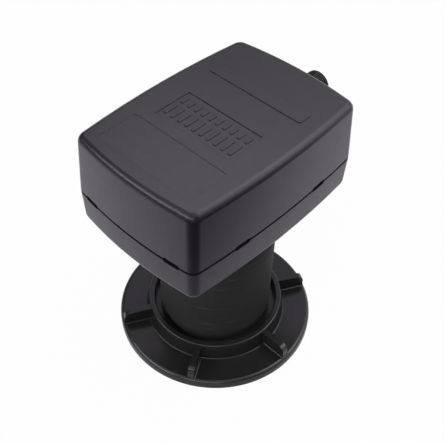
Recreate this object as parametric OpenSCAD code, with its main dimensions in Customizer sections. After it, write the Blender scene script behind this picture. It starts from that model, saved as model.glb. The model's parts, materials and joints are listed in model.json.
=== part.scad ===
// Sonar transducer: a sealed electronics box on a round stem, seated in a ribbed base ring.
// Millimetres, +Z up along the stem axis. The origin is on that axis, at the underside of the
// base ring, and +Y points towards the network connector.

/* [Box] */
// Width of the box between its corners, at the seam
box_w = 64.6; // [62:0.2:72]
// Length of the box between its corners, at the seam
box_l = 92; // [88:0.5:104]
// How far each long side bows out past its corners
side_bow = 2.1; // [1:0.1:3.5]
// How far each short end bows out past its corners
end_bow = 2.1; // [1:0.1:3.5]
// Height of the cover, from the seam to the top face
cover_h = 27.4; // [26:0.2:34]
// Height of the tray, from its underside to the seam
tray_h = 15.9; // [14:0.1:18]
// Inset of the cover's top face on each side, from the moulding draft
cover_draft = 1.2; // [0.5:0.1:2.4]
// Inset of the tray's underside on each side
tray_draft = 0.5; // [0.2:0.1:1.5]
// Plan radius of the box's corners at the seam
corner_r = 4.4; // [3.6:0.1:6]
// Rounding of the edge round the top face
top_edge_r = 2.6; // [1.5:0.1:2.9]
// Rounding of the edge round the tray's underside
bottom_edge_r = 3.4; // [2:0.1:4]
// Wall of the cover and of the tray
wall = 3; // [2.6:0.1:3.6]
// Thickness of the cover's roof
roof_t = 3; // [2.6:0.1:4]
// Thickness of the tray's floor
floor_t = 3; // [2.6:0.1:4]

/* [Seam] */
// Height of the open line between the cover and the tray
seam_gap = 1; // [0.6:0.05:1.3]
// Inset of the tray's upstanding lip from the outside
lip_inset = 1.5; // [1.2:0.05:1.7]
// Height of the lip above the seam
lip_h = 2; // [1.5:0.1:3]
// Gap between the lip and the cover's skirt
lip_gap = 0.15; // [0.05:0.05:0.3]
// Height of the gasket on top of the lip
gasket_h = 1.2; // [1:0.1:2]
// Length of each opening slot in the seam
slot_len = 7; // [5:0.5:10]
// How far each slot cuts into the cover's edge and into the tray's rim
slot_cut = 0.6; // [0.3:0.05:0.8]
// Distance of the slots from the middle of a long side
slot_y = 21.8; // [14:0.2:26]
// Distance of the slots from the middle of a short end
slot_x = 21.8; // [14:0.2:23]

/* [Top face] */
// Width of the label place
label_w = 47.6; // [40:0.4:50]
// Length of the label place
label_l = 19; // [14:0.2:20]
// Distance of the label place from the stem axis
label_y = 30.1; // [29:0.1:31.5]
// Depth of the label place
label_d = 0.25; // [0.1:0.05:0.5]
// Width of the recessed panel
panel_w = 38; // [33:0.5:42]
// Length of the recessed panel
panel_l = 18; // [15:0.5:19]
// Distance of the recessed panel from the stem axis
panel_y = 6.1; // [4:0.1:8]
// Number of upright bars in each row of the panel
bar_count = 10; // [6:1:11]
// Width of one bar in the panel
bar_w = 1.4; // [1:0.1:1.8]
// Length of a bar in the panel's long row
long_bar = 6.6; // [5:0.2:7]
// Length of a bar in the panel's short row
short_bar = 4; // [3:0.2:5]
// Width of the raised plain strip near the connector
strip_w = 47.6; // [38:0.4:50]
// Length of the raised plain strip, along Y
strip_l = 7; // [5:0.2:8]
// Distance of the raised strip from the stem axis
strip_y = 21.9; // [18:0.1:25]
// Depth of the recessed panel
panel_d = 0.4; // [0.2:0.1:0.8]
// Height of the raised strip
strip_h = 0.4; // [0.2:0.1:0.8]

/* [Stem and its socket] */
// Height of the tray's underside above the hull
tray_z = 73.7; // [66:0.1:90]
// Diameter of the stem
stem_d = 51; // [49:0.2:52]
// Wall of the stem round the transducer element
stem_wall = 4; // [3.4:0.1:5]
// Height of the socket under the tray
socket_h = 14.7; // [10:0.1:18]
// How far the socket stands out past the stem
socket_step = 1.1; // [0.5:0.1:2]
// Width of the shoulder that the socket sits on
shoulder = 3.5; // [3:0.1:4.5]
// Wall of the spigot that passes through the socket
spigot_wall = 4; // [3:0.1:5]
// Thickness of the gasket on the shoulder
stem_gasket_t = 1; // [0.6:0.1:1.6]
// Thickness of the lock nut inside the tray
lock_nut_t = 5; // [4:0.1:6]
// Width of the lock nut's rim
lock_nut_rim = 4.5; // [3.5:0.1:5]
// Number of wrench notches in the lock nut
lock_nut_notches = 6; // [3:1:8]
// How far the stem's foot is set back, below the collar's top
foot_step = 1; // [0.5:0.1:1.2]
// Thickness of the sealing ring at the stem's foot
oring_t = 1.8; // [1.4:0.1:2]

/* [Base ring] */
// Diameter of the flange
flange_d = 90; // [86:0.5:104]
// Thickness of the flange
flange_t = 4.5; // [3.5:0.1:6]
// Rounding of the flange's upper rim
rim_r = 2; // [1:0.1:2.6]
// Height of the collar above the hull
collar_h = 12.2; // [11.8:0.1:15]
// Thickness of the collar's wall at its top
collar_t = 2.8; // [2.4:0.1:4]
// How much wider the collar is at its foot, on each side
collar_flare = 1.2; // [0.4:0.1:2]
// Open gap between the stem and the collar
collar_gap = 2.7; // [1.5:0.1:3]
// Depth of that gap below the collar's top
gap_depth = 4.2; // [3:0.1:4.2]
// Number of ribs
rib_count = 6; // [4:1:8]
// Thickness of a rib
rib_t = 2.8; // [2:0.1:4]
// Height of the ribs where they leave the collar
rib_h_in = 11.6; // [9.6:0.1:11.7]
// Height of the ribs at their outer end
rib_h_out = 11.1; // [9:0.1:11.4]
// Distance from the ribs' outer end to the flange's rim
rib_setback = 1.1; // [0.5:0.1:2]
// Rounding of the ribs' upper outer corner
rib_corner_r = 3; // [2:0.1:4]
// Rounding along the foot of a rib
rib_fillet = 0.8; // [0.4:0.1:1.2]

/* [Transducer element] */
// Recess of the sound window above the hull
window_recess = 1; // [0.5:0.1:1.5]
// Thickness of the sound window's rim
window_t = 2.5; // [2:0.1:2.8]
// Height of the window's step inside the stem
window_step = 1.5; // [1:0.1:3]
// Diameter of the piezo ceramic
ceramic_d = 38; // [35:0.5:38.5]
// Thickness of the piezo ceramic
ceramic_t = 10; // [8:0.5:12]
// Thickness of the cork backing
backing_t = 6; // [4:0.5:8]
// Height of the resin above the backing
potting_t = 14; // [8:0.5:18]
// Diameter of an insulated lead of the element
lead_d = 1.8; // [1.2:0.1:2.4]
// Spacing of the two leads of the element
lead_pitch = 8; // [6:0.5:10]

/* [Connector] */
// Outside diameter of the connector's thread
thread_d = 12; // [11:0.1:13]
// Length of the thread outside the box
thread_len = 11.8; // [8:0.1:14]
// Height of the connector's flat face above the seam's gasket
connector_up = 0.3; // [0.2:0.1:1.5]
// Diameter of the socket inside the shell
socket_d = 8.8; // [8.4:0.1:9.2]
// Depth of the socket
socket_depth = 9; // [7:0.1:11]
// Diameter of the shell's flange
flange_ring_d = 14.6; // [14:0.2:16]
// Thickness of the shell's flange
flange_ring_t = 1.6; // [1.2:0.1:2.4]
// Thickness of the seal under the flange
seal_t = 1; // [0.6:0.1:1.4]
// Width across flats of the nut inside the cover
nut_af = 16; // [15:0.2:17.4]
// Thickness of the nut inside the cover
nut_t = 3; // [2.4:0.1:4]
// Wall of the cover between the seal and the nut
pad_wall = 3.2; // [2.6:0.1:4]
// Length of the shell behind the nut
shell_tail = 3; // [2:0.1:4]
// Diameter of a contact pin
pin_d = 1; // [0.8:0.1:1.2]
// Radius of the circle of contact pins
pin_circle_r = 2.7; // [2.4:0.1:2.9]
// Recess of the pins inside the socket's mouth
pin_recess = 1.5; // [1:0.1:3]
// Diameter of an insulated lead behind the connector
wire_d = 1.4; // [1:0.1:1.6]
// Bend radius of those leads
wire_bend_r = 4; // [3:0.1:4.4]

/* [Fasteners] */
// Distance of the cover screws from the box's corner lines
screw_inset = 9; // [8.6:0.1:10]
// Shank diameter of a cover screw
screw_d = 3; // [2.5:0.1:3.4]
// Head diameter of a cover screw
screw_head_d = 5.6; // [5:0.1:6]
// Head height of a cover screw
screw_head_h = 2.4; // [2:0.1:2.8]
// Depth of the recess that holds a screw head
screw_recess = 3.2; // [3:0.1:4]
// Length of screw inside the cover
screw_grip = 10; // [7:0.5:14]
// Diameter of a screw boss
boss_d = 7.4; // [6.8:0.1:8]
// Shank diameter of a board screw
board_screw_d = 2.5; // [2:0.1:2.6]
// Head diameter of a board screw
board_head_d = 4.6; // [4:0.1:5]
// Head height of a board screw
board_head_h = 1.8; // [1.4:0.1:2.4]

/* [Electronics] */
// Thickness of the circuit board
board_t = 1.6; // [1:0.1:2]
// Height of the posts that carry the board
post_h = 8; // [7.6:0.1:8.4]
// Diameter of a board post
post_d = 6; // [5.4:0.1:6.2]
// Side of the processor package
chip_w = 14; // [10:0.5:15]
// Height of the processor package
chip_h = 1.6; // [1:0.1:2.4]
// Width of the transformer's core
core_w = 18; // [16:0.5:19]
// Length of the transformer's core
core_l = 12; // [10:0.5:13]
// Height of the transformer's core
core_h = 15; // [12:0.5:17]
// Thickness of the core's limbs
core_limb = 3; // [2.6:0.1:3.4]
// Diameter of a storage capacitor
cap_d = 9; // [7:0.5:9.4]
// Height of a storage capacitor
cap_h = 15; // [10:0.5:18]
// Side of the power inductor
coil_w = 12; // [9:0.5:12.5]
// Height of the power inductor
coil_h = 6; // [4:0.2:8]
// Height of the two terminals
terminal_h = 5; // [4:0.2:6]

/* [Hidden] */
$fn = 96;
// Clearance of a piece that drops into a hole or bore
fit = 0.05;
// Clearance of a screw or thread in its through hole
hole_gap = 0.2;
// Overshoot of cuts
over = 1;
// Smallest corner radius of an inner outline
min_corner_r = 0.8;
// Segments on half of a bowed side, in a corner and in a rounded edge
side_steps = 4;
corner_steps = 5;
edge_steps = 4;
// Sides of a thin lead, and segments in its bend
wire_sides = 8;
bend_steps = 5;
// Small edge breaks
edge_r = 0.6;
chamfer = 0.5;
socket_fillet = 1.2;
// Room round the connector's flange on its flat face
spot_margin = 0.5;
// Pins on the circle, beside the middle one, and the angle of the first
pin_count = 4;
pin_turn = 45;
// Margin inside the recessed panel
panel_margin = 1.6;

// Half sizes of the box at the seam
half_w = box_w / 2;
half_l = box_l / 2;

// Heights, from the hull up
stem_foot_z = window_recess + window_t;
shoulder_z = tray_z - socket_h - stem_gasket_t;
seam_z = tray_z + tray_h;
top_z = seam_z + cover_h;
rim_z = seam_z - seam_gap / 2;
skirt_z = seam_z + seam_gap / 2;
lip_top_z = seam_z + lip_h;
rabbet_z = lip_top_z + gasket_h;
roof_z = top_z - roof_t;
floor_z = tray_z + floor_t;
spigot_top_z = floor_z + lock_nut_t + over;
board_z = floor_z + post_h;
board_top_z = board_z + board_t;
gap_floor_z = collar_h - gap_depth;

// Radii round the stem axis
stem_r = stem_d / 2;
foot_r = stem_r - foot_step;
stem_bore_r = stem_r - stem_wall;
spigot_r = stem_r - shoulder;
spigot_bore_r = spigot_r - spigot_wall;
stem_socket_r = stem_r + socket_step;
seat_r = foot_r + 2 * fit;
gap_r = stem_r + collar_gap;
collar_r = gap_r + collar_t;
collar_foot_r = collar_r + collar_flare;
flange_r = flange_d / 2;
rib_r = flange_r - rib_setback;
lock_nut_r = spigot_r + lock_nut_rim;
oring_r = seat_r - fit - oring_t / 2;
oring_z = (stem_foot_z + gap_floor_z) / 2 + fit;

// Heights of the element's stack inside the stem
stack_z = stem_foot_z + window_step;
ceramic_top_z = stack_z + ceramic_t;
backing_top_z = ceramic_top_z + backing_t;
potting_top_z = backing_top_z + potting_t;

// Connector: places along its axis, which runs along +Y
spot_r = flange_ring_d / 2 + spot_margin;
connector_z = rabbet_z + connector_up + spot_r;
spot_bow = end_bow * pow(spot_r / (half_w - cover_draft), 2);
spot_y = half_l + end_bow - cover_draft * (connector_z + spot_r - seam_z) / cover_h - spot_bow;
flange_y = spot_y + seal_t;
thread_y = flange_y + flange_ring_t;
mouth_y = thread_y + thread_len;
pad_y = spot_y - pad_wall;
tail_y = pad_y - nut_t - shell_tail;
insert_y = mouth_y - socket_depth;
insert_r = socket_d / 2 - fit;
pin_tail_y = tail_y - over;
pin_tip_y = mouth_y - pin_recess;
pin_spots = concat([[0, 0]], [for (i = [0:pin_count - 1]) let (a = pin_turn + i * 360 / pin_count)
  [pin_circle_r * cos(a), pin_circle_r * sin(a)]]);

// Fasteners and board
screw_x = half_w - screw_inset;
screw_y = half_l - screw_inset;
screw_head_z = tray_z + screw_recess;
board_gap = 0.4;
board_w = 2 * (screw_x - boss_d / 2 - board_gap);
board_l = 2 * (half_l - tray_draft - wall - 4 * board_gap);
post_x = (board_w - post_d) / 2 - board_gap;
post_y = (board_l - post_d) / 2 - board_gap;
corners = [[-1, -1], [1, -1], [1, 1], [-1, 1]];

// Windows of the transformer's core, and the winding that fills them
window_w = (core_w - 3 * core_limb) / 2;
window_h = core_h - 2 * core_limb;
winding_w = core_limb + 2 * window_w - 2 * fit;
winding_l = core_l + 2 * window_w;

// Places of the parts on the board, from its middle
column_x = board_w / 4;
transformer_y = -board_l / 4;
cap_rows_y = [transformer_y - cap_d / 2 - board_gap, transformer_y + cap_d / 2 + board_gap];
chip_y = transformer_y + cap_d + chip_w / 2 + 2 * board_gap;
coil_y = transformer_y + winding_l / 2 + coil_w / 2 + 2 * board_gap;
terminal_margin = 2;
terminal_w = 2 * (pin_circle_r + terminal_margin);
terminal_top_z = board_top_z + terminal_h;
wire_row = 2.2;
terminal_y = pin_tail_y - wire_bend_r - 2 * wire_row;
terminal_l = 2 * (wire_row + terminal_margin);
lead_block_w = lead_pitch + 3 * terminal_margin;
lead_block_l = terminal_h + terminal_margin;
coil_corner_r = coil_w / 6;

// Colours
plastic = [0.14, 0.14, 0.15];
tray_plastic = [0.17, 0.17, 0.18];
black = [0.07, 0.07, 0.07];
rubber = [0.05, 0.05, 0.05];
steel = [0.7, 0.7, 0.72];
brass = [0.78, 0.62, 0.3];

// Points of an arc, from angle a0 to angle a1
function arc(centre, r, a0, a1, steps = 6) =
  [for (i = [0:steps]) let (a = a0 + (a1 - a0) * i / steps)
    [centre[0] + r * cos(a), centre[1] + r * sin(a)]];

// Outward step of length r from a point of a bowed side, square to the side
function stepped(p, slope, r) = p + r * slope / norm(slope);

// One quarter of the box's outline: half a long side, a rounded corner, half a short end
function quarter(hw, hl, r) =
  let (cw = hw - r, cl = hl - r,
    a0 = atan2(2 * side_bow, cl), a1 = atan2(cw, 2 * end_bow))
  concat(
    [for (i = [0:side_steps]) let (t = i / side_steps)
      stepped([cw + side_bow * (1 - t * t), cl * t], [cl, 2 * side_bow * t], r)],
    [for (i = [1:corner_steps - 1]) let (a = a0 + (a1 - a0) * i / corner_steps)
      [cw + r * cos(a), cl + r * sin(a)]],
    [for (i = [side_steps:-1:0]) let (t = i / side_steps)
      stepped([cw * t, cl + end_bow * (1 - t * t)], [2 * end_bow * t, cw], r)]);

// The whole outline, from half sizes at the corners and a corner radius
function outline(hw, hl, r) =
  let (q = quarter(hw, hl, r), last = len(q) - 1)
  concat(q,
    [for (i = [last - 1:-1:0]) [-q[i][0], q[i][1]]],
    [for (i = [1:last]) -q[i]],
    [for (i = [last - 1:-1:1]) [q[i][0], -q[i][1]]]);

// Outline of the box where its draft takes it in, drawn in further by an inset
function box_outline(draft, inset) =
  outline(half_w - draft - inset, half_l - draft - inset, max(corner_r - inset, min_corner_r));

function seam_outline(inset) = box_outline(0, inset);

// Rings of the cover and of the tray at a height
function cover_ring(z, inset) = at_height(box_outline(cover_draft * (z - seam_z) / cover_h, inset), z);
function tray_ring(z, inset) = at_height(box_outline(tray_draft * (seam_z - z) / tray_h, inset), z);
function at_height(points, z) = [for (p = points) [p[0], p[1], z]];

// Solid through a stack of rings that have the same number of points
module skin(rings) {
  count = len(rings[0]);
  levels = len(rings);
  sides = [for (i = [0:levels - 2]) for (j = [0:count - 1])
    let (k = (j + 1) % count, a = i * count, b = a + count)
    each [[a + j, b + j, b + k], [a + j, b + k, a + k]]];
  bottom = [for (j = [0:count - 1]) j];
  top = [for (j = [count - 1:-1:0]) (levels - 1) * count + j];
  polyhedron([for (ring = rings) each ring], concat([bottom, top], sides));
}

// Rectangle with round corners
module round_rect(w, l, r) {
  square([w - 2 * r, l], center = true);
  square([w, l - 2 * r], center = true);
  for (c = corners)
    translate([c[0] * (w / 2 - r), c[1] * (l / 2 - r)]) circle(r);
}

// Ring between two insets of the seam outline
module seam_ring(outer, inner, z0, z1) {
  translate([0, 0, z0]) linear_extrude(z1 - z0) difference() {
    polygon(seam_outline(outer));
    polygon(seam_outline(inner));
  }
}

// Boxes at the eight slot places, as high as asked
module slot_boxes(z0, z1) {
  reach = 2 * (max(side_bow, end_bow) + lip_inset + over);
  for (s = [-1, 1]) for (t = [-1, 1]) {
    translate([s * half_w, t * slot_y, (z0 + z1) / 2]) cube([reach, slot_len, z1 - z0], center = true);
    translate([t * slot_x, s * half_l, (z0 + z1) / 2]) cube([slot_len, reach, z1 - z0], center = true);
  }
}

// Upright cylinder between two heights
module post(r, z0, z1) {
  translate([0, 0, z0]) cylinder(h = z1 - z0, r = r);
}

// Upright tube between two heights
module tube(r, bore, z0, z1) {
  difference() {
    post(r, z0, z1);
    post(bore, z0 - over, z1 + over);
  }
}

// Places of the cover screws and of the board screws
module at_cover_screws() {
  for (c = corners) translate([c[0] * screw_x, c[1] * screw_y, 0]) children();
}

module at_board_screws() {
  for (c = corners) translate([c[0] * post_x, c[1] * post_y, 0]) children();
}

// Children that stand along +Z are turned along the connector's axis
module along_connector() {
  translate([0, 0, connector_z]) rotate([-90, 0, 0]) children();
}

module at_pins() {
  for (p = pin_spots) translate([p[0], p[1], 0]) children();
}

module at_leads() {
  for (s = [-1, 1]) translate([s * lead_pitch / 2, 0, 0]) children();
}

// Base ring: flange, collar with an open gap round the stem, and radial ribs
module base_ring() {
  collar_base = flange_t + edge_r;
  section = concat(
    [[seat_r, 0], [flange_r - chamfer, 0], [flange_r, chamfer]],
    arc([flange_r - rim_r, flange_t - rim_r], rim_r, 0, 90),
    arc([collar_foot_r + edge_r, collar_base], edge_r, 270, 180),
    arc([collar_r - edge_r, collar_h - edge_r], edge_r, 0, 90),
    arc([gap_r + edge_r, collar_h - edge_r], edge_r, 90, 180),
    [[gap_r, gap_floor_z], [seat_r, gap_floor_z]]);
  color(plastic) union() {
    rotate_extrude() polygon(section);
    for (i = [0:rib_count - 1]) rotate([0, 0, i * 360 / rib_count]) rib();
  }
}

// One rib along +X: its side view, narrowed to a section that widens at the foot
module rib() {
  root_r = gap_r + collar_t / 2;
  foot_z = flange_t - rim_r;
  half_t = rib_t / 2;
  side = concat(
    [[root_r, foot_z], [rib_r, foot_z]],
    arc([rib_r - rib_corner_r, rib_h_out - rib_corner_r], rib_corner_r, 0, 90),
    [[root_r, rib_h_in]]);
  half_section = concat(
    [[half_t + rib_fillet, foot_z]],
    arc([half_t + rib_fillet, flange_t + rib_fillet], rib_fillet, 270, 180),
    [[half_t, collar_h]]);
  mirrored = [for (i = [len(half_section) - 1:-1:0]) [-half_section[i][0], half_section[i][1]]];
  intersection() {
    rotate([90, 0, 0]) linear_extrude(2 * (rib_t + rib_fillet), center = true) polygon(side);
    rotate([90, 0, 90]) linear_extrude(flange_r) polygon(concat(half_section, mirrored));
  }
}

// Stem: a tube with a narrower foot that has a sealing groove, and a threaded spigot at its top
module stem_body() {
  groove_r = oring_r - oring_t / 2 - fit;
  groove_w = oring_t / 2 + fit;
  step_z = shoulder_z - shoulder;
  section = [
    [stem_bore_r, stem_foot_z], [foot_r, stem_foot_z],
    [foot_r, oring_z - groove_w], [groove_r, oring_z - groove_w],
    [groove_r, oring_z + groove_w], [foot_r, oring_z + groove_w],
    [foot_r, collar_h], [stem_r, collar_h],
    [stem_r, shoulder_z], [spigot_r, shoulder_z],
    [spigot_r, spigot_top_z], [spigot_bore_r, spigot_top_z],
    [spigot_bore_r, step_z], [stem_bore_r, step_z - shoulder]];
  color(black) rotate_extrude() polygon(section);
}

module stem_oring() {
  color(rubber) translate([0, 0, oring_z])
    rotate_extrude() translate([oring_r, 0]) circle(oring_t / 2);
}

// Sound window: closes the stem's foot, with a step that centres it in the bore
module acoustic_window() {
  color(black) union() {
    post(foot_r, window_recess, stem_foot_z);
    post(stem_bore_r - fit, window_recess, stack_z);
  }
}

module ceramic_disc() {
  color([0.85, 0.82, 0.72]) post(ceramic_d / 2, stack_z, ceramic_top_z);
}

module isolation_sleeve() {
  color([0.55, 0.4, 0.25]) tube(stem_bore_r - fit, ceramic_d / 2 + fit, stack_z, ceramic_top_z);
}

// Cork backing, with holes for the leads
module backing_disc() {
  color([0.6, 0.44, 0.28]) difference() {
    post(stem_bore_r - fit, ceramic_top_z, backing_top_z);
    at_leads() post(lead_d / 2 + fit, ceramic_top_z - over, backing_top_z + over);
  }
}

// Resin that seals the element into the stem
module potting_plug() {
  color([0.2, 0.17, 0.12]) difference() {
    post(stem_bore_r - fit, backing_top_z, potting_top_z);
    at_leads() post(lead_d / 2 + fit, backing_top_z - over, potting_top_z + over);
  }
}

// Two leads, from the ceramic up the stem to the block under the board
module element_leads() {
  color([0.75, 0.15, 0.12]) at_leads() post(lead_d / 2, ceramic_top_z, board_z - terminal_h);
}

module stem_gasket() {
  color(rubber) tube(stem_r, spigot_r + fit, shoulder_z, shoulder_z + stem_gasket_t);
}

// Socket: round neck between the stem's shoulder and the tray, clamped by the lock nut
module stem_socket() {
  foot_z = shoulder_z + stem_gasket_t;
  section = concat(
    [[spigot_r + fit, foot_z]],
    arc([stem_socket_r - edge_r, foot_z + edge_r], edge_r, 270, 360),
    arc([stem_socket_r + socket_fillet, tray_z - socket_fillet], socket_fillet, 180, 90),
    [[spigot_r + fit, tray_z]]);
  color(tray_plastic) rotate_extrude() polygon(section);
}

// Round nut with wrench notches, on the tray's floor
module stem_lock_nut() {
  notch = lock_nut_rim / 2;
  color(plastic) difference() {
    tube(lock_nut_r, spigot_r + fit, floor_z, floor_z + lock_nut_t);
    for (i = [0:lock_nut_notches - 1]) rotate([0, 0, i * 360 / lock_nut_notches])
      translate([lock_nut_r, 0, floor_z + lock_nut_t / 2])
        cube([2 * notch, 2 * notch, lock_nut_t + 2 * over], center = true);
  }
}

// Tray: bowed shell with a lip, a hole for the stem's spigot, screw bosses and board posts
module lower_tray() {
  rounded_edge = [for (i = [0:edge_steps]) let (a = i * 90 / edge_steps)
    tray_ring(tray_z + bottom_edge_r * (1 - cos(a)), bottom_edge_r * (1 - sin(a)))];
  color(tray_plastic) difference() {
    union() {
      difference() {
        skin(concat(rounded_edge, [tray_ring(rim_z, 0)]));
        skin([for (z = [floor_z, rim_z + over]) tray_ring(z, wall)]);
      }
      seam_ring(lip_inset, wall, floor_z + floor_t, lip_top_z);
      at_cover_screws() post(boss_d / 2, floor_z - over, skirt_z);
      at_board_screws() post(post_d / 2, floor_z - over, board_z);
    }
    post(spigot_r + fit, tray_z - over, floor_z + over);
    at_cover_screws() {
      post(screw_d / 2 + hole_gap, tray_z - over, skirt_z + over);
      post(screw_head_d / 2 + hole_gap, tray_z - over, screw_head_z);
    }
    at_board_screws() post(board_screw_d / 2 + fit, floor_z, board_z + over);
    intersection() {
      seam_ring(-over, lip_inset, rim_z - slot_cut, skirt_z);
      slot_boxes(rim_z - slot_cut, skirt_z);
    }
  }
}

// Gasket between the tray's lip and the cover
module cover_gasket() {
  color(rubber) seam_ring(lip_inset, wall, lip_top_z, rabbet_z);
}

// Space inside the cover: the cavity and the step for the lip, round the bosses and the pad
module cover_space() {
  pad_w = nut_af + 2 * wall;
  difference() {
    union() {
      skin([for (z = [skirt_z - over, roof_z]) cover_ring(z, wall)]);
      translate([0, 0, skirt_z - over]) linear_extrude(rabbet_z - skirt_z + over)
        polygon(seam_outline(lip_inset - lip_gap));
    }
    at_cover_screws() post(boss_d / 2, skirt_z, top_z);
    translate([-pad_w / 2, pad_y, rabbet_z]) cube([pad_w, half_l, cover_h]);
  }
}

// Recessed panel of the top face, less two rows of upright bars that stay standing in it
module panel_cut() {
  pitch = (panel_w - 2 * panel_margin - bar_w) / (bar_count - 1);
  row_gap = (panel_l - 2 * panel_margin - long_bar - short_bar) / 2;
  long_y = (long_bar - panel_l) / 2 + panel_margin + row_gap / 2;
  short_y = (panel_l - short_bar) / 2 - panel_margin - row_gap / 2;
  translate([0, -panel_y, top_z - panel_d]) linear_extrude(panel_d + over) difference() {
    round_rect(panel_w, panel_l, edge_r);
    for (i = [0:bar_count - 1]) translate([(i - (bar_count - 1) / 2) * pitch, 0]) {
      translate([0, long_y]) square([bar_w, long_bar], center = true);
      translate([0, short_y]) square([bar_w, short_bar], center = true);
    }
  }
}

// Shallow place for a label
module label_cut() {
  translate([0, -label_y, top_z - label_d]) linear_extrude(label_d + over)
    round_rect(label_w, label_l, 2 * edge_r);
}

// Cover: bowed, drafted shell with screw bosses, a connector hole and the marks of the top face
module top_cover() {
  rounded_edge = [for (i = [0:edge_steps]) let (a = i * 90 / edge_steps)
    cover_ring(top_z - top_edge_r * (1 - sin(a)), top_edge_r * (1 - cos(a)))];
  color(plastic) difference() {
    union() {
      skin(concat([cover_ring(skirt_z, 0)], rounded_edge));
      translate([0, strip_y, top_z - over]) linear_extrude(over + strip_h)
        round_rect(strip_w, strip_l, 2 * edge_r);
    }
    cover_space();
    at_cover_screws() post(screw_d / 2 + fit, skirt_z - over, skirt_z + screw_grip + over);
    along_connector() {
      post(thread_d / 2 + hole_gap, pad_y - over, mouth_y);
      post(spot_r, spot_y, mouth_y);
    }
    intersection() {
      seam_ring(-over, lip_inset - lip_gap, rim_z, skirt_z + slot_cut);
      slot_boxes(rim_z, skirt_z + slot_cut);
    }
    panel_cut();
    label_cut();
  }
}

// Four screws that draw the cover onto the tray, from below
module cover_screws() {
  color(steel) at_cover_screws() union() {
    post(screw_head_d / 2, screw_head_z - screw_head_h, screw_head_z);
    post(screw_d / 2, screw_head_z - fit, skirt_z + screw_grip);
  }
}

// Connector shell: flange outside the cover, thread in front of it and behind it
module connector_shell() {
  thread_r = thread_d / 2;
  section = [
    [socket_d / 2, tail_y], [thread_r, tail_y], [thread_r, flange_y],
    [flange_ring_d / 2, flange_y], [flange_ring_d / 2, thread_y], [thread_r, thread_y],
    [thread_r, mouth_y - chamfer], [thread_r - chamfer, mouth_y], [socket_d / 2, mouth_y]];
  color(black) along_connector() rotate_extrude() polygon(section);
}

module connector_seal() {
  color(rubber) along_connector() tube(flange_ring_d / 2, thread_d / 2 + fit, spot_y, flange_y);
}

// Hexagon nut against the pad inside the cover
module connector_nut() {
  color(brass) along_connector() difference() {
    translate([0, 0, pad_y - nut_t]) cylinder(h = nut_t, d = nut_af / cos(30), $fn = 6);
    post(thread_d / 2 + fit, pad_y - nut_t - over, pad_y + over);
  }
}

// Insulator at the bottom of the socket, drilled for the pins
module connector_insert() {
  color(black) along_connector() difference() {
    post(insert_r, tail_y, insert_y);
    at_pins() post(pin_d / 2 + fit, tail_y - over, insert_y + over);
  }
}

module connector_pins() {
  color(brass) along_connector() at_pins() post(pin_d / 2, pin_tail_y, pin_tip_y);
}

// Ring of points round a lead, which heads along -Y at angle 0 and down at angle 90
function lead_ring(centre, angle) =
  [for (i = [0:wire_sides - 1]) let (a = i * 360 / wire_sides)
    centre + wire_d / 2 * [cos(a), -sin(a) * sin(angle), sin(a) * cos(angle)]];

// Leads from the pins to the terminal: straight back, a quarter bend, straight down.
// A higher pin runs further back before it bends, so the leads stay clear of each other.
module network_leads() {
  color([0.5, 0.5, 0.55]) for (p = pin_spots) {
    pin_z = connector_z - p[1];
    bend_y = pin_tail_y - wire_row * (2 - sign(round(p[1])));
    bend = [for (i = [0:bend_steps]) let (a = i * 90 / bend_steps)
      lead_ring([p[0], bend_y - wire_bend_r * sin(a), pin_z - wire_bend_r * (1 - cos(a))], a)];
    skin(concat(
      [lead_ring([p[0], pin_tail_y, pin_z], 0)],
      bend,
      [lead_ring([p[0], bend_y - wire_bend_r, terminal_top_z], 90)]));
  }
}

// Circuit board, drilled for its screws
module circuit_board() {
  color([0.1, 0.35, 0.2]) difference() {
    translate([-board_w / 2, -board_l / 2, board_z]) cube([board_w, board_l, board_t]);
    at_board_screws() post(board_screw_d / 2 + hole_gap, board_z - over, board_top_z + over);
  }
}

module board_screws() {
  color(steel) at_board_screws() union() {
    post(board_head_d / 2, board_top_z, board_top_z + board_head_h);
    post(board_screw_d / 2, floor_z + over, board_top_z + fit);
  }
}

module processor_chip() {
  color([0.1, 0.1, 0.11]) translate([-column_x, chip_y, board_top_z])
    linear_extrude(chip_h) round_rect(chip_w, chip_w, edge_r);
}

// Transformer core: a closed frame with a middle limb, open front to back
module transformer_core() {
  color([0.25, 0.24, 0.24]) translate([column_x, transformer_y, board_top_z]) difference() {
    translate([-core_w / 2, -core_l / 2, 0]) cube([core_w, core_l, core_h]);
    for (s = [-1, 1]) translate([s * (core_limb + window_w) / 2, 0, core_h / 2])
      cube([window_w, core_l + 2 * over, window_h], center = true);
  }
}

// Winding round the core's middle limb, with flat ends in front of and behind the core
module transformer_winding() {
  color([0.72, 0.42, 0.2]) translate([column_x, transformer_y, board_top_z + core_limb])
    linear_extrude(window_h) difference() {
      round_rect(winding_w, winding_l, window_w / 2);
      square([core_limb + 2 * fit, core_l + 2 * fit], center = true);
    }
}

module storage_capacitors() {
  color([0.12, 0.15, 0.25]) for (y = cap_rows_y)
    translate([-column_x, y, 0]) post(cap_d / 2, board_top_z, board_top_z + cap_h);
}

module power_inductor() {
  color([0.22, 0.22, 0.23]) translate([column_x, coil_y, board_top_z])
    linear_extrude(coil_h) round_rect(coil_w, coil_w, coil_corner_r);
}

// Block that takes the leads of the connector, on the board
module network_terminal() {
  color([0.12, 0.4, 0.25]) translate([0, terminal_y, board_top_z])
    linear_extrude(terminal_h) round_rect(terminal_w, terminal_l, edge_r);
}

// Block that takes the leads of the element, under the board
module lead_terminal() {
  color([0.9, 0.88, 0.8]) translate([0, 0, board_z - terminal_h])
    linear_extrude(terminal_h) round_rect(lead_block_w, lead_block_l, edge_r);
}

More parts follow.
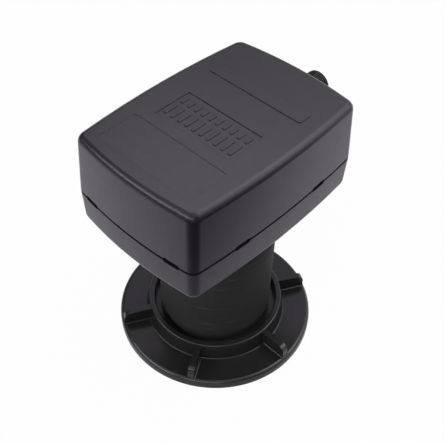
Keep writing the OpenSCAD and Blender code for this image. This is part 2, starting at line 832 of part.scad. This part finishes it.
base_ring();
stem_body();
stem_oring();
acoustic_window();
ceramic_disc();
isolation_sleeve();
backing_disc();
potting_plug();
element_leads();
stem_gasket();
stem_socket();
stem_lock_nut();
lower_tray();
cover_gasket();
top_cover();
cover_screws();
connector_shell();
connector_seal();
connector_nut();
connector_insert();
connector_pins();
network_leads();
circuit_board();
board_screws();
processor_chip();
transformer_core();
transformer_winding();
storage_capacitors();
power_inductor();
network_terminal();
lead_terminal();
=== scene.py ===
"""Looks of the sonar transducer: finished visible pieces, materials, light and camera."""
import json
import math

import bmesh
import bpy
from mathutils import Matrix, Vector
from mathutils.kdtree import KDTree


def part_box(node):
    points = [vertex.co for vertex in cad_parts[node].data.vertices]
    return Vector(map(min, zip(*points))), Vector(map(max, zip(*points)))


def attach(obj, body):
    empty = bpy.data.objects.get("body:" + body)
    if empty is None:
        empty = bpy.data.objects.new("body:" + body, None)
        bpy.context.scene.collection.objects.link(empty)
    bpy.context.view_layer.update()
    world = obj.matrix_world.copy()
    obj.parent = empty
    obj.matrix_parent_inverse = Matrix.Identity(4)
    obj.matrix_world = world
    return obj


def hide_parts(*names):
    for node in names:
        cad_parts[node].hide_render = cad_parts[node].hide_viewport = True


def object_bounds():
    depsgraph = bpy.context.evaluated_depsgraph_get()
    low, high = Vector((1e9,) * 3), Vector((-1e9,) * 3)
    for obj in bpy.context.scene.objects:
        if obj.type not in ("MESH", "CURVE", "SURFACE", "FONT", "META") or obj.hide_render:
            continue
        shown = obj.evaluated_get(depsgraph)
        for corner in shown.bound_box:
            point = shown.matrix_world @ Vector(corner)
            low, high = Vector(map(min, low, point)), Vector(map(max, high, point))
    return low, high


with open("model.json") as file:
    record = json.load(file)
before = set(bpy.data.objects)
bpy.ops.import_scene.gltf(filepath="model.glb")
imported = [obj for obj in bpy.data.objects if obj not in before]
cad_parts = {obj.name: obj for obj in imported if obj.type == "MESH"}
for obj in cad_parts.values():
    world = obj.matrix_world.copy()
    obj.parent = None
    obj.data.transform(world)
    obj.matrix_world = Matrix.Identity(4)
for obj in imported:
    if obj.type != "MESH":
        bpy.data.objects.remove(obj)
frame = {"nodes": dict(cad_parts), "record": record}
cad_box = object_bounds()

MM = 0.001
ROOT = "root"


# Materials. A noise is its scale in features per metre, its detail and its roughness.

# Moulded plastic: a cloudy colour, an uneven gloss, a fine grain and faint waves
CLOUD_NOISE, CLOUD_SPREAD = (55, 4, 0.6), 0.12
GLOSS_NOISE = (240, 3, 0.6)
GRAIN_NOISE, GRAIN_STRENGTH, GRAIN_DEPTH = (2600, 3, 0.55), 0.35, 0.008 * MM
WAVE_NOISE, WAVE_STRENGTH, WAVE_DEPTH = (420, 2, 0.5), 0.5, 0.02 * MM

# Scuffs: a noise with a scale for each axis, so that its marks lie level, the span in which they
# come up, and how strong they get
SCUFF_NOISE, SCUFF_SCALE = (1.0, 2, 0.6), (45, 45, 800)
SCUFF_SPAN, SCUFF_SHARE = (0.6, 0.75), 0.5
SCUFF_COLOUR = (0.085, 0.083, 0.085)

# Metal: cloudy between a darker tone and its colour, finely worked
METAL_CLOUD, METAL_DARK = (180, 3), 0.85
METAL_FINE, METAL_ROUGHNESS = (1500, 4), (0.25, 0.4)

# Ground or pressed grains
GRIT_DETAIL, GRIT_ROUGHNESS = 5, 0.7
GRIT_STRENGTH, GRIT_DEPTH = 0.3, 0.1 * MM


def new_material(name):
    """An empty node material with its output and a principled shader."""
    material = bpy.data.materials.new(name)
    material.use_nodes = True
    tree = material.node_tree
    tree.nodes.clear()
    output = tree.nodes.new("ShaderNodeOutputMaterial")
    shader = tree.nodes.new("ShaderNodeBsdfPrincipled")
    tree.links.new(shader.outputs["BSDF"], output.inputs["Surface"])
    return material, tree, shader


def find_node(tree, kind):
    return next(n for n in tree.nodes if n.type == kind)


def noise(tree, scale, detail, roughness=0.5):
    """A noise texture in object space."""
    coordinates = tree.nodes.new("ShaderNodeTexCoord")
    texture = tree.nodes.new("ShaderNodeTexNoise")
    texture.inputs["Scale"].default_value = scale
    texture.inputs["Detail"].default_value = detail
    texture.inputs["Roughness"].default_value = roughness
    tree.links.new(coordinates.outputs["Object"], texture.inputs["Vector"])
    return texture


def ramp(tree, texture, low, high, span=(0.3, 0.7)):
    """A colour that goes from low to high while a texture goes through a span."""
    node = tree.nodes.new("ShaderNodeValToRGB")
    for element, position, colour in zip(node.color_ramp.elements, span, (low, high)):
        element.position = position
        element.color = (*colour, 1)
    tree.links.new(texture.outputs["Fac"], node.inputs["Fac"])
    return node.outputs["Color"]


def grey(level):
    return (level,) * 3


def toned(colour, factor):
    return tuple(c * factor for c in colour)


def bump(tree, texture, strength, depth):
    node = tree.nodes.new("ShaderNodeBump")
    node.inputs["Strength"].default_value = strength
    node.inputs["Distance"].default_value = depth
    tree.links.new(texture.outputs["Fac"], node.inputs["Height"])
    return node


def uneven_gloss(tree, shader, texture, roughness):
    """Lets a texture move the roughness between two values."""
    tree.links.new(ramp(tree, texture, *map(grey, roughness)), shader.inputs["Roughness"])


def moulded(name, colour, roughness=(0.45, 0.6), depth=GRAIN_DEPTH, specular=0.4, sheen=(1, 1, 1)):
    """Moulded plastic; depth is that of its grain, and sheen is a painted tint on what it
    reflects.
    """
    material, tree, shader = new_material(name)
    cloud = ramp(tree, noise(tree, *CLOUD_NOISE), toned(colour, 1 - CLOUD_SPREAD),
                 toned(colour, 1 + CLOUD_SPREAD))
    tree.links.new(cloud, shader.inputs["Base Color"])
    uneven_gloss(tree, shader, noise(tree, *GLOSS_NOISE), roughness)
    grain = bump(tree, noise(tree, *GRAIN_NOISE), GRAIN_STRENGTH, depth)
    wave = bump(tree, noise(tree, *WAVE_NOISE), WAVE_STRENGTH, WAVE_DEPTH)
    tree.links.new(grain.outputs["Normal"], wave.inputs["Normal"])
    tree.links.new(wave.outputs["Normal"], shader.inputs["Normal"])
    shader.inputs["Specular IOR Level"].default_value = specular
    shader.inputs["Specular Tint"].default_value = (*sheen, 1)
    return material


def add_scuffs(material):
    """Adds short, level, paler scuff marks to a moulded material."""
    tree = material.node_tree
    base = find_node(tree, "BSDF_PRINCIPLED").inputs["Base Color"]
    clean = base.links[0].from_socket
    marks = noise(tree, *SCUFF_NOISE)
    level = tree.nodes.new("ShaderNodeMapping")
    level.inputs["Scale"].default_value = SCUFF_SCALE
    tree.links.new(marks.inputs["Vector"].links[0].from_socket, level.inputs["Vector"])
    tree.links.new(level.outputs["Vector"], marks.inputs["Vector"])
    mix = tree.nodes.new("ShaderNodeMix")
    mix.data_type = "RGBA"
    share = ramp(tree, marks, grey(0), grey(SCUFF_SHARE), SCUFF_SPAN)
    tree.links.new(share, mix.inputs["Factor"])
    tree.links.new(clean, mix.inputs["A"])
    mix.inputs["B"].default_value = (*SCUFF_COLOUR, 1)
    tree.links.new(mix.outputs["Result"], base)


def metal(name, colour):
    """Plain metal with an uneven, finely worked surface."""
    material, tree, shader = new_material(name)
    shader.inputs["Metallic"].default_value = 1.0
    cloud = ramp(tree, noise(tree, *METAL_CLOUD), toned(colour, METAL_DARK), colour)
    tree.links.new(cloud, shader.inputs["Base Color"])
    uneven_gloss(tree, shader, noise(tree, *METAL_FINE), METAL_ROUGHNESS)
    return material


def speckled(name, dark, light, scale, roughness=(0.7, 0.85)):
    """Ground or pressed material such as cork, ferrite or fired ceramic."""
    material, tree, shader = new_material(name)
    grains = noise(tree, scale, GRIT_DETAIL, GRIT_ROUGHNESS)
    tree.links.new(ramp(tree, grains, dark, light), shader.inputs["Base Color"])
    uneven_gloss(tree, shader, grains, roughness)
    grit = bump(tree, grains, GRIT_STRENGTH, GRIT_DEPTH)
    tree.links.new(grit.outputs["Normal"], shader.inputs["Normal"])
    return material


# Painted reflection colour: the dark plastics tint what they reflect violet, in place of a bluish
# light in the room
REFLECTION_VIOLET = (0.9, 0.82, 1.0)
PLASTICS = {
    "cover_plastic": dict(colour=(0.011, 0.0102, 0.0118), roughness=(0.28, 0.34), specular=0.54,
                          sheen=REFLECTION_VIOLET),
    "tray_plastic": dict(colour=(0.013, 0.0121, 0.014), roughness=(0.3, 0.36), specular=0.34,
                         sheen=REFLECTION_VIOLET),
    "stem_plastic": dict(colour=(0.034, 0.0328, 0.0338), roughness=(0.52, 0.62), specular=0.03,
                         depth=0.01 * MM),
    "base_plastic": dict(colour=(0.02, 0.0195, 0.0202), roughness=(0.2, 0.27), specular=0.15,
                         depth=0.004 * MM, sheen=REFLECTION_VIOLET),
    "window_resin": dict(colour=(0.025, 0.025, 0.026), roughness=(0.2, 0.3), depth=0.005 * MM),
    "seal_rubber": dict(colour=(0.015, 0.015, 0.015), roughness=(0.7, 0.85), specular=0.25),
    "connector_plastic": dict(colour=(0.018, 0.0174, 0.018), roughness=(0.3, 0.4), specular=0.6),
    "insert_plastic": dict(colour=(0.03, 0.03, 0.03), roughness=(0.5, 0.6)),
    "potting_resin": dict(colour=(0.08, 0.06, 0.04), roughness=(0.15, 0.25), depth=0.005 * MM),
    "lead_insulation": dict(colour=(0.5, 0.06, 0.05), roughness=(0.4, 0.5)),
    "wire_insulation": dict(colour=(0.3, 0.3, 0.33), roughness=(0.4, 0.5)),
    "board_laminate": dict(colour=(0.03, 0.18, 0.08), roughness=(0.2, 0.35)),
    "chip_plastic": dict(colour=(0.035, 0.035, 0.037), roughness=(0.55, 0.7)),
    "capacitor_sleeve": dict(colour=(0.04, 0.06, 0.14), roughness=(0.2, 0.3)),
    "terminal_plastic": dict(colour=(0.5, 0.48, 0.42), roughness=(0.5, 0.6)),
}
METALS = {
    "contact_brass": (0.75, 0.56, 0.25),
    "screw_steel": (0.62, 0.62, 0.63),
    "copper_winding": (0.6, 0.28, 0.12),
}
GRITS = {
    "piezo_ceramic": dict(dark=(0.7, 0.66, 0.55), light=(0.8, 0.76, 0.65), scale=900,
                          roughness=(0.4, 0.5)),
    "cork": dict(dark=(0.32, 0.19, 0.09), light=(0.56, 0.38, 0.21), scale=500),
    "ferrite": dict(dark=(0.08, 0.078, 0.075), light=(0.13, 0.127, 0.12), scale=1500,
                    roughness=(0.5, 0.65)),
}
MATERIALS = {slot: moulded(slot, **look) for slot, look in PLASTICS.items()}
MATERIALS |= {slot: metal(slot, colour) for slot, colour in METALS.items()}
MATERIALS |= {slot: speckled(slot, **look) for slot, look in GRITS.items()}
add_scuffs(MATERIALS["stem_plastic"])

# Painted highlight lines on the base's edges: a lighter, glossier copy of its plastic on faces
# whose normal rises between two values
EDGE_HIGHLIGHT_BASE = moulded("base_plastic_edge_highlight", (0.022, 0.0215, 0.0222), roughness=(0.16, 0.22),
                      depth=0.004 * MM, specular=0.5)
EDGE_HIGHLIGHT_RISE = (0.22, 0.96)
# Painted shade: the socket takes a dull, barely reflecting copy of the tray's plastic, standing in
# for the shade the box casts on it
SOCKET_SHADE_PLASTIC = moulded("tray_plastic_shaded", (0.022, 0.0209, 0.0227), roughness=(0.5, 0.6),
                    specular=0.05)

NODE_SLOT = {row["node"]: row["material_slot"] for row in frame["record"]["subparts"]}
for node, piece in frame["nodes"].items():
    piece.data.materials.clear()
    piece.data.materials.append(MATERIALS[NODE_SLOT[node]])


# Finished copies of the visible nodes, with softened edges

# Distance at which points merge, and the angles in degrees at which faces count as one flat, at
# which an edge is rounded and at which shading stays sharp
MERGE = 0.002 * MM
FLAT_ANGLE, EDGE_ANGLE, SMOOTH_ANGLE = 0.3, 30, 40
EDGE_SEGMENTS, EDGE_PROFILE = 2, 0.5

# Rounding round the cover's top, in the CAD and worn, and the tolerances that find its points
COVER_TOP = 117 * MM
RIM_CAD_R, RIM_WORN_R = 2.6 * MM, 3.1 * MM
RIM_NEAR, RIM_REACH, RIM_SLACK = 0.01 * MM, 0.1 * MM, 0.01


def finished(node, width, material=None, highlight_coat=None, ease=None):
    """A copy of a CAD node with merged flats and rounded edges; it stands for the node.
    A material, where one is given, takes the place of the slot's.
    A highlight material, where one is given, goes on the tilted faces along the edges as painted
    highlight lines.
    A function, where one is given, first works on the mesh."""
    mesh = frame["nodes"][node].data.copy()
    piece = bpy.data.objects.new(node + "_finish", mesh)
    bpy.context.scene.collection.objects.link(piece)
    work = bmesh.new()
    work.from_mesh(mesh)
    bmesh.ops.remove_doubles(work, verts=work.verts, dist=MERGE)
    if ease:
        ease(work)
    bmesh.ops.dissolve_limit(work, angle_limit=math.radians(FLAT_ANGLE), verts=work.verts,
                             edges=work.edges)
    edges = [e for e in work.edges
             if e.is_manifold and e.calc_face_angle() > math.radians(EDGE_ANGLE)]
    bmesh.ops.bevel(work, geom=edges, offset=width, offset_type="OFFSET", segments=EDGE_SEGMENTS,
                    profile=EDGE_PROFILE, affect="EDGES", clamp_overlap=True)
    if material:
        mesh.materials[0] = material
    if highlight_coat:
        mesh.materials.append(highlight_coat)
        work.normal_update()
        for face in work.faces:
            face.material_index = int(EDGE_HIGHLIGHT_RISE[0] < face.normal.z < EDGE_HIGHLIGHT_RISE[1])
    work.to_mesh(mesh)
    work.free()
    smooth_by_area(piece, SMOOTH_ANGLE)
    stand_for(piece, node)


def ease_cover_rim(work):
    """Widens the rounding round the cover's top from its CAD radius to the worn, softer one."""
    foot = COVER_TOP - RIM_CAD_R
    on_foot = [v for v in work.verts if abs(v.co.z - foot) < RIM_NEAR]
    tree = KDTree(len(on_foot))
    for i, vert in enumerate(on_foot):
        tree.insert((vert.co.x, vert.co.y, 0), i)
    tree.balance()
    growth = RIM_WORN_R - RIM_CAD_R
    for vert in work.verts:
        height = (vert.co.z - foot) / RIM_CAD_R
        if not -RIM_SLACK < height < 1 + RIM_SLACK:
            continue
        nearest, _, inset = tree.find((vert.co.x, vert.co.y, 0))
        if inset > RIM_CAD_R + RIM_REACH:
            continue
        turn = math.asin(min(1, max(0, height)))
        outward = Vector((nearest.x - vert.co.x, nearest.y - vert.co.y, 0))
        if outward.length > 0:
            vert.co -= outward.normalized() * growth * (1 - math.cos(turn))
        vert.co.z -= growth * (1 - math.sin(turn))


def smooth_by_area(piece, smooth_angle):
    """Smooth shading in which large faces keep their own direction and only small ones bend."""
    piece.data.shade_smooth()
    piece.data.set_sharp_from_angle(angle=math.radians(smooth_angle))
    weights = piece.modifiers.new("normals", "WEIGHTED_NORMAL")
    weights.mode = "FACE_AREA"
    weights.keep_sharp = True


def stand_for(piece, node):
    """Puts a piece in the place of a CAD node."""
    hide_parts(node)
    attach(piece, ROOT)


# Turned pieces: the connector's thread, the screws' sockets and the pins' tips

TURNED_MERGE = 0.001 * MM


def turned(verts, faces, stations, segments, place):
    """Adds a turned solid to the lists; a station is (radius or radius at an angle, height)."""
    first = len(verts)
    for radius, height in stations:
        for i in range(segments):
            angle = 2 * math.pi * i / segments
            r = radius(angle) if callable(radius) else radius
            verts.append(place(r * math.cos(angle), r * math.sin(angle), height))
    for j in range(len(stations) - 1):
        low, high = first + j * segments, first + (j + 1) * segments
        for i in range(segments):
            k = (i + 1) % segments
            faces.append((low + i, low + k, high + k, high + i))


def quarter_turn(steps):
    """Angles from 0 to a right angle."""
    return [math.pi / 2 * i / steps for i in range(steps + 1)]


def piece_from(node, verts, faces, smooth_angle):
    """A piece made from the lists; it stands for a CAD node and takes its material."""
    mesh = bpy.data.meshes.new(node + "_finish")
    mesh.from_pydata(verts, [], faces)
    work = bmesh.new()
    work.from_mesh(mesh)
    bmesh.ops.remove_doubles(work, verts=work.verts, dist=TURNED_MERGE)
    bmesh.ops.recalc_face_normals(work, faces=work.faces)
    work.to_mesh(mesh)
    work.free()
    mesh.materials.append(MATERIALS[NODE_SLOT[node]])
    piece = bpy.data.objects.new(node + "_finish", mesh)
    bpy.context.scene.collection.objects.link(piece)
    smooth_by_area(piece, smooth_angle)
    stand_for(piece, node)


def along_connector(node):
    """Places a turned piece along +Y, on the middle of a CAD node of the connector."""
    low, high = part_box(node)
    x, z = (low[0] + high[0]) / 2, (low[2] + high[2]) / 2
    return lambda a, b, height: (x + a, height, z + b)


# Thread: outside radius, pitch and depth, the steps in a pitch, a ridge a little too high whose
# crest is cut flat, and the relief behind it, its run-out there and the chamfer at the mouth
THREAD_R, THREAD_PITCH, THREAD_DEPTH = 6.0 * MM, 1.0 * MM, 0.5 * MM
THREAD_STEPS, RIDGE_RISE = 16, 1.15
RELIEF_L, RUN_OUT, MOUTH_CHAMFER = 1.3 * MM, 0.8 * MM, 0.5 * MM

# Shell: where its flange starts and ends along Y, and the socket with its key
SHELL_FLANGE, FLANGE_CHAMFER = (48.131 * MM, 49.731 * MM), 0.3 * MM
SOCKET_R, KEY_R, KEY_HALF_W = 4.4 * MM, 3.75 * MM, 0.85 * MM
SHELL_SIDES, SHELL_SMOOTH = 120, 50


def thread_radius(height, start, end):
    """Radius round the thread at a height; its ridge dies out in the relief and at the mouth."""
    rise = min(1, max(0, (height - start) / RUN_OUT))
    cap = THREAD_R - max(0, height - (end - MOUTH_CHAMFER))
    root = THREAD_R - THREAD_DEPTH

    def radius(angle):
        turn = height / THREAD_PITCH - angle / (2 * math.pi)
        ridge = (1 + math.cos(2 * math.pi * turn)) / 2
        return min(cap, root + THREAD_DEPTH * rise * min(1, RIDGE_RISE * ridge))
    return radius


def socket_radius(angle):
    """Socket wall with a key at the top that turns the plug the right way round."""
    across = SOCKET_R * math.cos(angle)
    return KEY_R if abs(across) < KEY_HALF_W and math.sin(angle) > 0 else SOCKET_R


def make_connector_shell():
    """Shell of the connector, with its flange, thread, chamfered mouth and keyed socket."""
    node = "connector_shell"
    low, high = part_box(node)
    tail, mouth = low[1], high[1]
    flange_r = (high[0] - low[0]) / 2
    back, front = SHELL_FLANGE
    start = front + RELIEF_L
    steps = round((mouth - start) / THREAD_PITCH * THREAD_STEPS)
    heights = [start + (mouth - start) * i / steps for i in range(steps + 1)]
    flange = [
        (SOCKET_R, tail), (THREAD_R, tail), (THREAD_R, back), (flange_r, back),
        (flange_r, front - FLANGE_CHAMFER), (flange_r - FLANGE_CHAMFER, front),
        (THREAD_R - THREAD_DEPTH, front)]
    thread = [(thread_radius(h, start, mouth), h) for h in heights]
    socket = [
        (SOCKET_R + FLANGE_CHAMFER, mouth), (socket_radius, mouth - FLANGE_CHAMFER),
        (socket_radius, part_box("connector_insert")[1][1]), (SOCKET_R, tail)]
    verts, faces = [], []
    turned(verts, faces, flange + thread + socket, SHELL_SIDES, along_connector(node))
    piece_from(node, verts, faces, SHELL_SMOOTH)


PIN_R, PIN_TIP, TIP_STEPS = 0.5 * MM, 0.45 * MM, 4
PIN_CIRCLE_R, PIN_COUNT, PIN_TURN = 2.7 * MM, 4, 45
PIN_SIDES, PIN_SMOOTH = 24, 60


def pin_spots():
    """Places of the pins across the connector: one in the middle, the others on a circle."""
    angles = [math.radians(PIN_TURN + i * 360 / PIN_COUNT) for i in range(PIN_COUNT)]
    return [(0, 0)] + [(PIN_CIRCLE_R * math.cos(a), PIN_CIRCLE_R * math.sin(a)) for a in angles]


def make_connector_pins():
    """Contact pins with rounded tips."""
    node = "connector_pins"
    low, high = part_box(node)
    at = along_connector(node)
    tip = [(PIN_R * math.cos(a), high[1] - PIN_TIP * (1 - math.sin(a)))
           for a in quarter_turn(TIP_STEPS)]
    stations = [(0, low[1]), (PIN_R, low[1])] + tip
    verts, faces = [], []
    for x, z in pin_spots():
        turned(verts, faces, stations, PIN_SIDES, lambda a, b, h, x=x, z=z: at(a + x, b + z, h))
    piece_from(node, verts, faces, PIN_SMOOTH)


SCREW_HEAD_R, SCREW_HEAD_H, SCREW_SHANK_R = 2.8 * MM, 2.4 * MM, 1.5 * MM
SCREW_EDGE, SCREW_EDGE_STEPS = 0.35 * MM, 3
HEX_AF, HEX_DEPTH, HEX_LEAD = 3.0 * MM, 1.5 * MM, 0.2 * MM
SCREW_SIDES, SCREW_SMOOTH = 48, 35


def hexagon(angle):
    """Radius of the screw's hexagon socket at an angle."""
    sixth = math.pi / 3
    return HEX_AF / 2 / math.cos(angle % sixth - sixth / 2)


def make_cover_screws():
    """Cover screws, head down, each with a hexagon socket."""
    node = "cover_screws"
    low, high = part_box(node)
    foot, top = low[2], high[2]
    socket = [(0, foot + HEX_DEPTH), (hexagon, foot + HEX_DEPTH), (hexagon, foot + HEX_LEAD),
              (hexagon(0) + HEX_LEAD, foot)]
    edge = [(SCREW_HEAD_R - SCREW_EDGE * (1 - math.sin(a)), foot + SCREW_EDGE * (1 - math.cos(a)))
            for a in quarter_turn(SCREW_EDGE_STEPS)]
    shank = [(SCREW_HEAD_R, foot + SCREW_HEAD_H), (SCREW_SHANK_R, foot + SCREW_HEAD_H),
             (SCREW_SHANK_R, top), (0, top)]
    verts, faces = [], []
    for x in (low[0] + SCREW_HEAD_R, high[0] - SCREW_HEAD_R):
        for y in (low[1] + SCREW_HEAD_R, high[1] - SCREW_HEAD_R):
            turned(verts, faces, socket + edge + shank, SCREW_SIDES,
                   lambda a, b, h, x=x, y=y: (x + a, y + b, h))
    piece_from(node, verts, faces, SCREW_SMOOTH)


# Camera, from the photograph's viewing angle; angles in degrees

PHOTO_W, PHOTO_H = 444, 443
FOCAL_PX = 771.96
AXIS_PX = (216.97, 219.29)
VIEW_AZIMUTH, VIEW_ELEVATION, VIEW_ROLL = 43.09, 46.44, 1.335
VIEW_DISTANCE = 328.45 * MM
TARGET = Vector((0, 0, 61.64 * MM))
SENSOR_W = 36
CLIP_START = 10 * MM


def make_camera():
    """The photograph's camera, with the lens shifted to where its axis meets the picture."""
    azimuth, elevation, roll = (math.radians(a) for a in (VIEW_AZIMUTH, VIEW_ELEVATION, VIEW_ROLL))
    right = Vector((math.cos(azimuth), math.sin(azimuth), 0))
    back = Vector((math.sin(azimuth) * math.cos(elevation),
                   -math.cos(azimuth) * math.cos(elevation), math.sin(elevation)))
    up = back.cross(right)
    x_axis = math.cos(roll) * right + math.sin(roll) * up
    y_axis = math.cos(roll) * up - math.sin(roll) * right
    data = bpy.data.cameras.new("camera")
    data.sensor_fit = "HORIZONTAL"
    data.sensor_width = SENSOR_W
    data.lens = SENSOR_W * FOCAL_PX / PHOTO_W
    data.shift_x = (PHOTO_W / 2 - AXIS_PX[0]) / PHOTO_W
    data.shift_y = (AXIS_PX[1] - PHOTO_H / 2) / PHOTO_W
    data.clip_start = CLIP_START
    camera = bpy.data.objects.new("camera", data)
    bpy.context.scene.collection.objects.link(camera)
    rotation = Matrix((x_axis, y_axis, back)).transposed().to_4x4()
    camera.matrix_world = Matrix.Translation(TARGET + VIEW_DISTANCE * back) @ rotation
    bpy.context.scene.camera = camera


# Light, floor and background. A turn is to the right of the camera's side, in degrees.

# Lamps: turn, elevation, distance and size in metres, radiance. The fill shows in no reflection.
LAMPS = {
    "key": (144, 64, 1.0, (1.5, 0.7), 1.4),
    "right": (94, 38, 0.9, (0.6, 0.65), 1.0),
    "left": (-66, 29, 0.9, (0.8, 0.2), 5.4),
    "window": (-12, 27, 0.9, (0.6, 0.16), 4.2),
    "fill": (-10, 62, 1.0, (0.5, 0.5), 2.6),
}
LIGHT_AIM = Vector((0, 0, 80 * MM))

# Room: its dim level, and what reflections see of it. The backdrop's direction and the ceiling's
# brightness, each with the cosines between which it fades in.
ROOM = 0.1
BACKDROP_TURN, BACKDROP_RISE, BACKDROP_SPAN = 116, 38, (0.56, 0.82)
OVERHEAD, OVERHEAD_SPAN = 0.7, (0.52, 0.8)

# Floor: its plain surface, how white the camera sees it, and what reflections see of it. Towards
# the dim side it fades from its pale distance to its dim one, and far away it is pale again.
FLOOR_SIZE, FLOOR_DROP = 3.0, 0.02 * MM
FLOOR_GREY, FLOOR_ROUGHNESS, FLOOR_SPECULAR = 0.86, 0.9, 0.1
FLOOR_WHITE, FLOOR_TINT = 0.97, (0.96, 0.93, 1.0)
FLOOR_TURN, FLOOR_DIM, FLOOR_PALE = 17, 148 * MM, 42 * MM
FLOOR_FAR = (600 * MM, 1000 * MM)


def direction(turn, elevation):
    """A unit vector at a turn and an elevation."""
    flat = math.radians(VIEW_AZIMUTH - 90 + turn)
    rise = math.radians(elevation)
    return Vector((math.cos(flat) * math.cos(rise), math.sin(flat) * math.cos(rise),
                   math.sin(rise)))


def softbox(name, turn, elevation, distance, size, radiance):
    """A rectangular lamp that faces the object; its power follows from its radiance."""
    data = bpy.data.lights.new(name, "AREA")
    data.shape = "RECTANGLE"
    data.size, data.size_y = size
    data.energy = radiance * math.pi * size[0] * size[1]
    lamp = bpy.data.objects.new(name, data)
    bpy.context.scene.collection.objects.link(lamp)
    lamp.location = LIGHT_AIM + distance * direction(turn, elevation)
    lamp.rotation_euler = (LIGHT_AIM - lamp.location).to_track_quat("-Z", "Y").to_euler()
    return lamp


def link_span(tree, value, start, end):
    """0 to 1 as a value goes from start to end."""
    span = tree.nodes.new("ShaderNodeMapRange")
    span.inputs["From Min"].default_value = start
    span.inputs["From Max"].default_value = end
    tree.links.new(value, span.inputs["Value"])
    return span.outputs["Result"]


def link_along(tree, vector, axis):
    """How far a place or direction reaches along an axis."""
    along = tree.nodes.new("ShaderNodeVectorMath")
    along.operation = "DOT_PRODUCT"
    along.inputs[1].default_value = axis
    tree.links.new(vector, along.inputs[0])
    return along.outputs["Value"]


def link_length(tree, vector):
    length = tree.nodes.new("ShaderNodeVectorMath")
    length.operation = "LENGTH"
    tree.links.new(vector, length.inputs[0])
    return length.outputs["Value"]


def link_math(tree, operation, first, second):
    """A math operation on two masks, or on a mask and a number."""
    node = tree.nodes.new("ShaderNodeMath")
    node.operation = operation
    for socket, value in zip(node.inputs, (first, second)):
        if isinstance(value, bpy.types.NodeSocket):
            tree.links.new(value, socket)
        else:
            socket.default_value = value
    return node.outputs[0]


def link_rays(tree):
    """Two masks: rays from the camera, and rays mirrored by or sent through a surface."""
    path = tree.nodes.new("ShaderNodeLightPath")
    mirrored = link_math(tree, "MAXIMUM", path.outputs["Is Glossy Ray"],
                         path.outputs["Is Transmission Ray"])
    return path.outputs["Is Camera Ray"], mirrored


def link_mix(tree, mask, first, second):
    """The first shader, or the second where a mask is 1."""
    mix = tree.nodes.new("ShaderNodeMixShader")
    tree.links.new(mask, mix.inputs["Fac"])
    tree.links.new(first, mix.inputs[1])
    tree.links.new(second, mix.inputs[2])
    return mix.outputs[0]


def white_background(tree, strength):
    node = tree.nodes.new("ShaderNodeBackground")
    node.inputs["Color"].default_value = (1, 1, 1, 1)
    node.inputs["Strength"].default_value = strength
    return node.outputs[0]


def make_world():
    """A dim room; the camera sees it white, and so do reflections of its backdrop and ceiling."""
    world = bpy.data.worlds.new("studio")
    bpy.context.scene.world = world
    world.use_nodes = True
    tree = world.node_tree
    tree.nodes.clear()
    output = tree.nodes.new("ShaderNodeOutputWorld")
    ray = tree.nodes.new("ShaderNodeTexCoord").outputs["Generated"]
    towards = link_along(tree, ray, direction(BACKDROP_TURN, BACKDROP_RISE))
    backdrop = link_span(tree, towards, *BACKDROP_SPAN)
    ceiling = link_span(tree, link_along(tree, ray, (0, 0, 1)), *OVERHEAD_SPAN)
    pale = link_math(tree, "MAXIMUM", backdrop, link_math(tree, "MULTIPLY", ceiling, OVERHEAD))
    camera, mirrored = link_rays(tree)
    seen = link_math(tree, "MAXIMUM", camera, link_math(tree, "MULTIPLY", mirrored, pale))
    shown = link_mix(tree, seen, white_background(tree, ROOM), white_background(tree, 1.0))
    tree.links.new(shown, output.inputs["Surface"])


def floor_material():
    """Pale, with a faint shadow; reflections see it white, fading towards the dim side."""
    material, tree, shader = new_material("floor")
    shader.inputs["Base Color"].default_value = (*grey(FLOOR_GREY), 1)
    shader.inputs["Roughness"].default_value = FLOOR_ROUGHNESS
    shader.inputs["Specular IOR Level"].default_value = FLOOR_SPECULAR
    place = tree.nodes.new("ShaderNodeTexCoord").outputs["Object"]
    towards = link_along(tree, place, direction(FLOOR_TURN, 0))
    near = link_span(tree, towards, FLOOR_DIM, FLOOR_PALE)
    pale = link_math(tree, "MAXIMUM", near, link_span(tree, link_length(tree, place), *FLOOR_FAR))
    white = tree.nodes.new("ShaderNodeEmission")
    glow = tree.nodes.new("ShaderNodeEmission")
    glow.inputs["Color"].default_value = (*FLOOR_TINT, 1)
    tree.links.new(pale, glow.inputs["Strength"])
    camera, mirrored = link_rays(tree)
    seen = link_mix(tree, link_math(tree, "MULTIPLY", camera, FLOOR_WHITE), shader.outputs[0],
                    white.outputs[0])
    shown = link_mix(tree, mirrored, seen, glow.outputs[0])
    tree.links.new(shown, find_node(tree, "OUTPUT_MATERIAL").inputs["Surface"])
    return material


def make_floor():
    """A square floor, just under the part."""
    half = FLOOR_SIZE / 2
    corners = [(-half, -half, 0), (half, -half, 0), (half, half, 0), (-half, half, 0)]
    mesh = bpy.data.meshes.new("floor")
    mesh.from_pydata(corners, [], [(0, 1, 2, 3)])
    mesh.materials.append(floor_material())
    floor = bpy.data.objects.new("floor", mesh)
    floor.location.z = cad_box[0][2] - FLOOR_DROP
    bpy.context.scene.collection.objects.link(floor)


# The scene: each visible node with the width of its rounded edges, then camera and light

finished("lower_tray", 0.12 * MM)
finished("stem_body", 0.3 * MM)
finished("connector_seal", 0.1 * MM)
finished("stem_gasket", 0.1 * MM)
finished("acoustic_window", 0.2 * MM)
finished("top_cover", 0.12 * MM, ease=ease_cover_rim)
finished("base_ring", 0.45 * MM, highlight_coat=EDGE_HIGHLIGHT_BASE)
finished("stem_socket", 0.2 * MM, material=SOCKET_SHADE_PLASTIC)
make_connector_shell()
make_connector_pins()
make_cover_screws()

make_camera()
make_world()
make_floor()
lamps = {name: softbox(name, *setting) for name, setting in LAMPS.items()}
lamps["fill"].visible_glossy = False

bpy.context.scene.view_settings.view_transform = "Standard"
